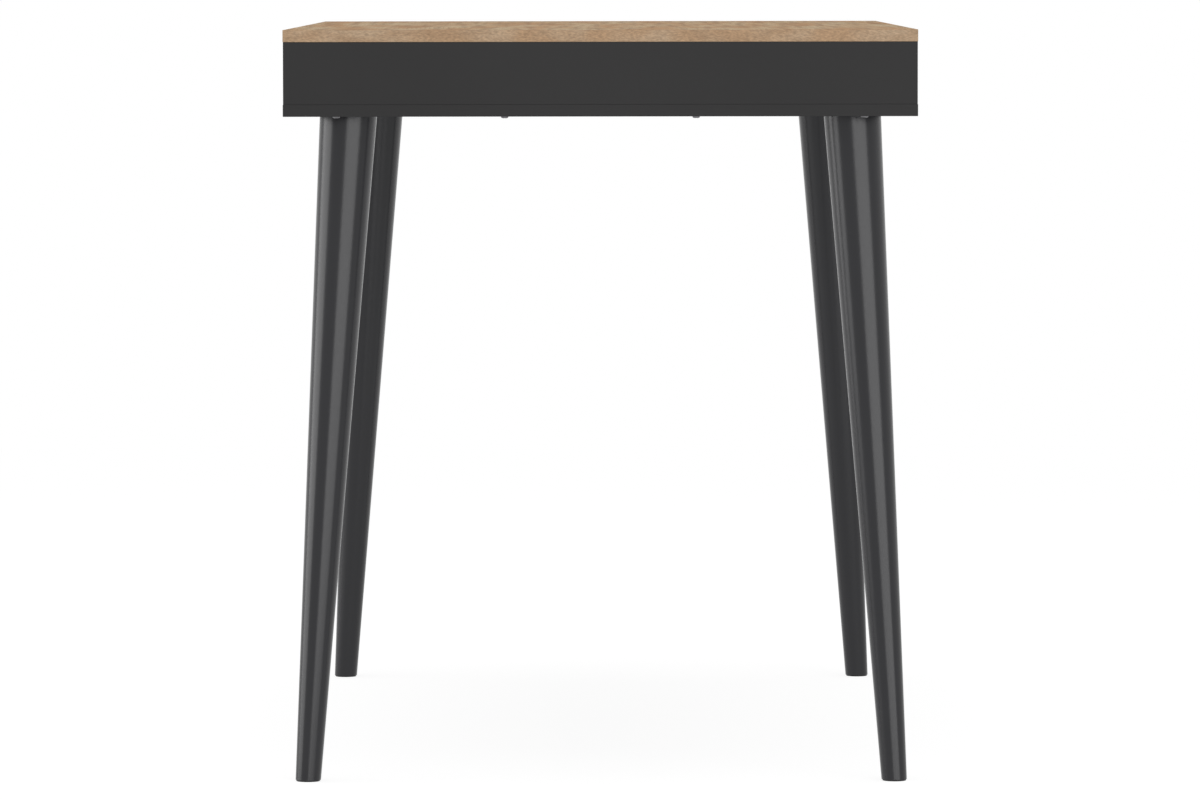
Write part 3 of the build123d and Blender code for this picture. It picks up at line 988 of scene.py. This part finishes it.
@dataclass
class CrossHeadScrews:
    """Screws of one kind: a turned shape with a cross recess, repeated at every solid of a CAD node."""

    recess_length: float
    recess_width: float
    recess_depth: float
    head_height: float
    shank_radius: float
    point_height: float
    finish: Finish
    steps: int = 32

    def head(self, radius: float) -> list[tuple[float, float]]:
        """Return radius and height of each point of a head's outline, from its face to the shank."""
        raise NotImplementedError

    def screw(self, head_radius: float, length: float) -> bpy.types.Mesh:
        """Turn a screw that stands on its head at the origin and cut its cross recess.

        Args:
            head_radius: The head's radius.
            length: The length with the head.

        Returns:
            The screw's mesh.
        """
        shank = [(self.shank_radius, self.head_height), (self.shank_radius, length - self.point_height)]
        outline = [(0.0, 0.0), *self.head(head_radius), *shank, (0.0, length)]
        points = [Vector((radius, 0.0, level)) for radius, level in outline]
        mesh = bmesh.new()
        turn_on_lathe(mesh, points, ORIGIN, UP, self.steps)
        cross = bmesh.new()
        depth = 2 * self.recess_depth
        block(cross, Vector((self.recess_length, self.recess_width, depth)), ORIGIN)
        block(cross, Vector((self.recess_width, self.recess_length, depth)), ORIGIN)
        return self.carve(mesh, cross)

    @staticmethod
    def carve(solid: bmesh.types.BMesh, cutter: bmesh.types.BMesh) -> bpy.types.Mesh:
        """Cut one bmesh out of another, and free both.

        Args:
            solid: What stays.
            cutter: What is taken away.

        Returns:
            The mesh that is left.
        """
        objects = []
        for name, source in (("screw_blank", solid), ("recess_cutter", cutter)):
            data = bpy.data.meshes.new(name)
            source.to_mesh(data)
            source.free()
            objects.append(bpy.data.objects.new(name, data))
            bpy.context.scene.collection.objects.link(objects[-1])
        blank, tool = objects
        cut = blank.modifiers.new("recess", "BOOLEAN")
        cut.operation = "DIFFERENCE"
        cut.solver = "EXACT"
        cut.use_self = True
        cut.object = tool
        carved = bpy.data.meshes.new_from_object(blank.evaluated_get(bpy.context.evaluated_depsgraph_get()))
        for used in objects:
            data = used.data
            bpy.data.objects.remove(used)
            bpy.data.meshes.remove(data)
        return carved

    def repeat(
        self, workshop: Workshop, name: str, node: str, body: str, one: bpy.types.Mesh, places: list[Matrix]
    ) -> None:
        """Set one screw in every place and put the lot in place of a CAD node.

        Args:
            workshop: Where pieces are made.
            name: The piece's name.
            node: The CAD node that the piece replaces.
            body: The body that it moves with.
            one: The screw, at the origin with its head down, which is removed here.
            places: Where each copy goes from there.
        """
        mesh = bmesh.new()
        for place in places:
            before = len(mesh.verts)
            mesh.from_mesh(one)
            mesh.verts.ensure_lookup_table()
            bmesh.ops.transform(mesh, matrix=place, verts=mesh.verts[before:])
        bpy.data.meshes.remove(one)
        screws = workshop.piece(name, mesh, [self.finish], body)
        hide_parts(node)


@dataclass
class BoxScrews(CrossHeadScrews):
    """Pan-head screws driven up through the bottom panel."""

    recess_length: float = 0.0044
    recess_width: float = 0.0011
    recess_depth: float = 0.0012
    head_height: float = 0.0018
    shank_radius: float = 0.0019
    point_height: float = 0.003
    finish: Finish = SCREW_ZINC
    crown: tuple[Range, ...] = ((0.45, 0.0), (0.75, 0.14), (0.94, 0.45), (1.0, 1.0))
    node: str = "box_screws"

    def head(self, radius: float) -> list[tuple[float, float]]:
        """Return the outline of a crowned head."""
        return [(share * radius, rise * self.head_height) for share, rise in self.crown]

    def build(self, workshop: Workshop) -> None:
        """Make the screws, with their heads down.

        Args:
            workshop: Where pieces are made.
        """
        solids = islands(self.node)
        middles = [(low + high) / 2 for low, high in solids]
        low, high = solids[0]
        places = [Matrix.Translation((middle.x, middle.y, low.z)) for middle in middles]
        one = self.screw((high.x - low.x) / 2, high.z - low.z)
        self.repeat(workshop, "pan_head_screws", self.node, DESK, one, places)


@dataclass
class RunnerScrews(CrossHeadScrews):
    """Countersunk screws through the runners, flush with their steel."""

    recess_length: float = 0.0034
    recess_width: float = 0.0008
    recess_depth: float = 0.0008
    head_height: float = 0.001
    shank_radius: float = 0.0015
    point_height: float = 0.0015
    finish: Finish = ZINC_PLATE
    neck_radius: float = 0.002

    def head(self, radius: float) -> list[tuple[float, float]]:
        """Return the outline of a countersunk head."""
        return [(radius, 0.0), (self.neck_radius, self.head_height)]

    def build(self, workshop: Workshop) -> None:
        """Make the screws of the rails in the bays, and of those on each drawer.

        Args:
            workshop: Where pieces are made.
        """
        bay_rails = [f"{bay}_bay_{hand}_rail" for bay in SIDES for hand in SIDES]
        self.fasten(workshop, "bay", "bay_rail_screws", DESK, bay_rails)
        for side in SIDES:
            drawer = f"{side}_drawer"
            drawer_rails = [f"{drawer}_{hand}_rail" for hand in SIDES]
            self.fasten(workshop, drawer, f"{drawer}_rail_screws", drawer, drawer_rails)

    def fasten(self, workshop: Workshop, group: str, node: str, body: str, rails: list[str]) -> None:
        """Make the screws of some rails, each with its head on the side where its rail lies.

        Args:
            workshop: Where pieces are made.
            group: First words of the piece's name.
            node: The CAD node that the screws replace.
            body: The body that they move with.
            rails: The CAD nodes of the rails that they hold.
        """
        centres = [(low.x + high.x) / 2 for low, high in map(corners, rails)]
        solids = islands(node)
        places = []
        for low, high in solids:
            middle = (low + high) / 2
            rail = min(centres, key=lambda centre: abs(centre - middle.x))
            facing = 1 if rail > middle.x else -1
            seat = Matrix.Translation((high.x if facing > 0 else low.x, middle.y, middle.z))
            places.append(seat @ Matrix.Rotation(-facing * QUARTER_TURN, 4, "Y"))
        low, high = solids[0]
        one = self.screw((high.z - low.z) / 2, high.x - low.x)
        self.repeat(workshop, f"{group}_runner_screws", node, body, one, places)


@dataclass
class DrawerFronts:
    """The two drawer fronts, each with a finger notch in its top edge."""

    notch_width: float = 0.110
    notch_depth: float = 0.018
    notch_round: float = 0.014
    lip_round: float = 0.004
    edge_round: float = 0.0005
    arc_steps: int = 12
    round_steps: int = 2

    def build(self, workshop: Workshop) -> None:
        """Make both fronts in place of their CAD nodes.

        Args:
            workshop: Where pieces are made.
        """
        for side in SIDES:
            node = f"{side}_drawer_front"
            name = f"{side}_notched_front"
            front = workshop.piece(name, self.board(node), [ANTHRACITE], f"{side}_drawer")
            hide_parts(node)

    def board(self, node: str) -> bmesh.types.BMesh:
        """Cut a front's outline, round its notch, thicken it and soften its edges.

        Args:
            node: The CAD node that gives the front's place and size.

        Returns:
            The front's bmesh.
        """
        low, high = corners(node)
        middle = (low.x + high.x) / 2
        left = middle - self.notch_width / 2
        right = middle + self.notch_width / 2
        floor = high.z - self.notch_depth
        lips = [(right, high.z), (left, high.z)]
        inner = [(right, floor), (left, floor)]
        base = [(low.x, low.z), (high.x, low.z), (high.x, high.z)]
        outline = [*base, lips[0], *inner, lips[1], (low.x, high.z)]
        mesh = bmesh.new()
        points = {(x, z): mesh.verts.new((x, low.y, z)) for x, z in outline}
        mesh.faces.new(list(points.values()))
        for spots, radius in ((inner, self.notch_round), (lips, self.lip_round)):
            soften(mesh, [points[spot] for spot in spots], radius, self.arc_steps, Rounding.CORNERS)
        thick = bmesh.ops.extrude_face_region(mesh, geom=mesh.faces[:])
        moved = [item for item in thick["geom"] if isinstance(item, bmesh.types.BMVert)]
        bmesh.ops.translate(mesh, vec=(0.0, high.y - low.y, 0.0), verts=moved)
        bmesh.ops.recalc_face_normals(mesh, faces=mesh.faces)
        outer = [edge for edge in mesh.edges if abs(edge.verts[0].co.y - edge.verts[1].co.y) < SAME_PLACE]
        soften(mesh, outer, self.edge_round, self.round_steps)
        return mesh


@dataclass
class RailStops:
    """Soft stops on the front ends of the rails in the bays, just clear of the closed drawer fronts."""

    thickness: float = 0.0024
    reach: float = 0.0019
    edge_round: float = 0.0004
    round_steps: int = 2

    def build(self, workshop: Workshop) -> None:
        """Make the stops of all four rails as one piece.

        Args:
            workshop: Where pieces are made.
        """
        mesh = bmesh.new()
        for bay in SIDES:
            for hand, sign in SIDES.items():
                low, high = corners(f"{bay}_bay_{hand}_rail")
                wall = low.x if sign < 0 else high.x
                size = Vector((self.reach, self.thickness, high.z - low.z))
                from_wall = wall - sign * self.reach / 2
                centre = Vector((from_wall, low.y - self.thickness / 2, (low.z + high.z) / 2))
                block(mesh, size, centre)
        soften(mesh, mesh.edges[:], self.edge_round, self.round_steps)
        workshop.piece("rail_stops", mesh, [NYLON], DESK)


def looking(place: Triple, target: Triple) -> Quaternion:
    """Return the turn that makes a lamp or a camera face a target."""
    return (Vector(target) - Vector(place)).to_track_quat("-Z", "Y")


@dataclass
class SoftBox:
    """A rectangular studio lamp that faces the desk."""

    name: str
    place: Triple
    target: Triple
    width: float
    height: float
    brightness: float

    def build(self) -> None:
        """Put the lamp in its place."""
        lamp = bpy.data.lights.new(self.name, "AREA")
        lamp.shape = "RECTANGLE"
        lamp.size = self.width
        lamp.size_y = self.height
        lamp.energy = math.pi * self.width * self.height * self.brightness
        stand = bpy.data.objects.new(self.name, lamp)
        stand.location = self.place
        stand.rotation_euler = looking(self.place, self.target).to_euler()
        stand.visible_camera = False
        bpy.context.scene.collection.objects.link(stand)


LEFT_SOFTBOX = SoftBox(
    name="left_softbox",
    place=(0.6, -8.3, 1.7),
    target=(0.5, 0.0, 1.7),
    width=7.1,
    height=3.9,
    brightness=3.4,
)
FRONT_SOFTBOX = SoftBox(
    name="front_softbox",
    place=(6.5, 2.73, 1.0),
    target=(0.5, 0.0, 1.0),
    width=6.9,
    height=2.7,
    brightness=3.25,
)
OVERHEAD_SOFTBOX = SoftBox(
    name="overhead_softbox",
    place=(0.4, 0.0, 3.4),
    target=(0.0, 0.0, 0.0),
    width=3.0,
    height=3.0,
    brightness=1.34,
)


@dataclass
class Studio:
    """Floor, white surroundings, lamps and the camera at the photograph's angle."""

    floor_half: float = 60.0
    floor_colour: Triple = (0.70, 0.70, 0.70)
    shadow_share: float = 0.34
    shadow_fade: Range = (1.5, 4.5)
    open_light: float = 0.62
    sky_light: float = 0.5
    camera_place: Triple = (7.78780, 0.00085, 0.81346)
    camera_aim: Triple = (0.560, -0.00077, 0.38246)
    camera_roll: float = math.radians(-0.0718)
    camera_reach: float = 240.0
    focal_pixels: float = 7286.2
    image_width: float = 1200.0
    sensor_width: float = 36.0
    lamps: tuple[SoftBox, ...] = (LEFT_SOFTBOX, FRONT_SOFTBOX, OVERHEAD_SOFTBOX)

    def build(self) -> None:
        """Set up everything that isn't part of the desk."""
        bpy.context.scene.view_settings.view_transform = "Standard"
        self.surroundings()
        self.floor()
        for lamp in self.lamps:
            lamp.build()
        self.camera()

    @staticmethod
    def seen_directly(graph: ShaderGraph) -> Socket:
        """Make a mask of the rays that should meet a white background.

        Args:
            graph: The graph of the floor or the world.

        Returns:
            The mask.
        """
        rays = graph.add("ShaderNodeLightPath").outputs
        mirrored = graph.math("MAXIMUM", rays["Is Glossy Ray"], rays["Is Transmission Ray"])
        return graph.math("MAXIMUM", rays["Is Camera Ray"], mirrored)

    def surroundings(self) -> None:
        """Make the world: white where it is seen, and a softer light on the desk."""
        world = bpy.data.worlds.new("white_studio")
        graph = ShaderGraph.blank(world)
        strength = graph.span(self.seen_directly(graph), (0.0, 1.0), (self.sky_light, 1.0))
        light = graph.add("ShaderNodeBackground", {"Color": WHITE, "Strength": strength})
        graph.add("ShaderNodeOutputWorld", {"Surface": light.outputs[0]})
        bpy.context.scene.world = world

    def floor_material(self) -> bpy.types.Material:
        """Make the floor's finish: white with a soft shadow where it is seen, and clear from below.

        Returns:
            The material.
        """
        material = bpy.data.materials.new("pale_floor")
        graph = ShaderGraph.blank(material)
        place = graph.add("ShaderNodeTexCoord").outputs["Object"]
        distance = graph.add("ShaderNodeVectorMath", {0: place}, operation="LENGTH").outputs["Value"]
        share = graph.span(distance, self.shadow_fade, (self.shadow_share, 0.0))
        tint = graph.math("MULTIPLY", share, self.floor_colour[0])
        glow_level = graph.math("SUBTRACT", 1.0, graph.math("MULTIPLY", tint, self.open_light))
        shadowed = graph.add("ShaderNodeBsdfDiffuse", {"Color": tint}).outputs[0]
        glow = graph.add("ShaderNodeEmission", {"Color": WHITE, "Strength": glow_level}).outputs[0]
        white = graph.add("ShaderNodeAddShader", {0: shadowed, 1: glow}).outputs[0]
        matt = graph.add("ShaderNodeBsdfDiffuse", {"Color": opaque(self.floor_colour)}).outputs[0]
        seen = self.seen_directly(graph)
        above = graph.add("ShaderNodeMixShader", {0: seen, 1: matt, 2: white}).outputs[0]
        below = graph.add("ShaderNodeBsdfTransparent").outputs[0]
        backfacing = graph.add("ShaderNodeNewGeometry").outputs["Backfacing"]
        one_sided = graph.add("ShaderNodeMixShader", {0: backfacing, 1: above, 2: below}).outputs[0]
        graph.add("ShaderNodeOutputMaterial", {"Surface": one_sided})
        return material

    def floor(self) -> None:
        """Lay the pale floor, which keeps the desk's soft shadow."""
        mesh = bmesh.new()
        bmesh.ops.create_grid(mesh, x_segments=1, y_segments=1, size=self.floor_half)
        data = bpy.data.meshes.new("studio_floor")
        mesh.to_mesh(data)
        mesh.free()
        data.materials.append(self.floor_material())
        ground = bpy.data.objects.new("studio_floor", data)
        ground.visible_glossy = False
        bpy.context.scene.collection.objects.link(ground)

    def camera(self) -> None:
        """Put the camera where the photograph was taken."""
        lens = bpy.data.cameras.new("photo_camera")
        lens.sensor_width = self.sensor_width
        lens.sensor_fit = "HORIZONTAL"
        lens.lens = self.focal_pixels / self.image_width * self.sensor_width
        lens.clip_end = self.camera_reach
        view = bpy.data.objects.new("photo_camera", lens)
        aim = looking(self.camera_place, self.camera_aim).to_matrix().to_4x4()
        roll = Matrix.Rotation(self.camera_roll, 4, "Z")
        view.matrix_world = Matrix.Translation(self.camera_place) @ aim @ roll
        bpy.context.scene.collection.objects.link(view)
        bpy.context.scene.camera = view


def main() -> None:
    """Dress the carried nodes, build the new pieces and set up the studio."""
    logging.basicConfig(level=logging.INFO, format="%(name)s: %(message)s")
    workshop = Workshop()
    CarriedNodes().dress(workshop)
    Desktop().build(workshop)
    TaperedLegs().build(workshop)
    BoxScrews().build(workshop)
    RunnerScrews().build(workshop)
    DrawerFronts().build(workshop)
    RailStops().build(workshop)
    Studio().build()


if __name__ == "__main__":
    main()
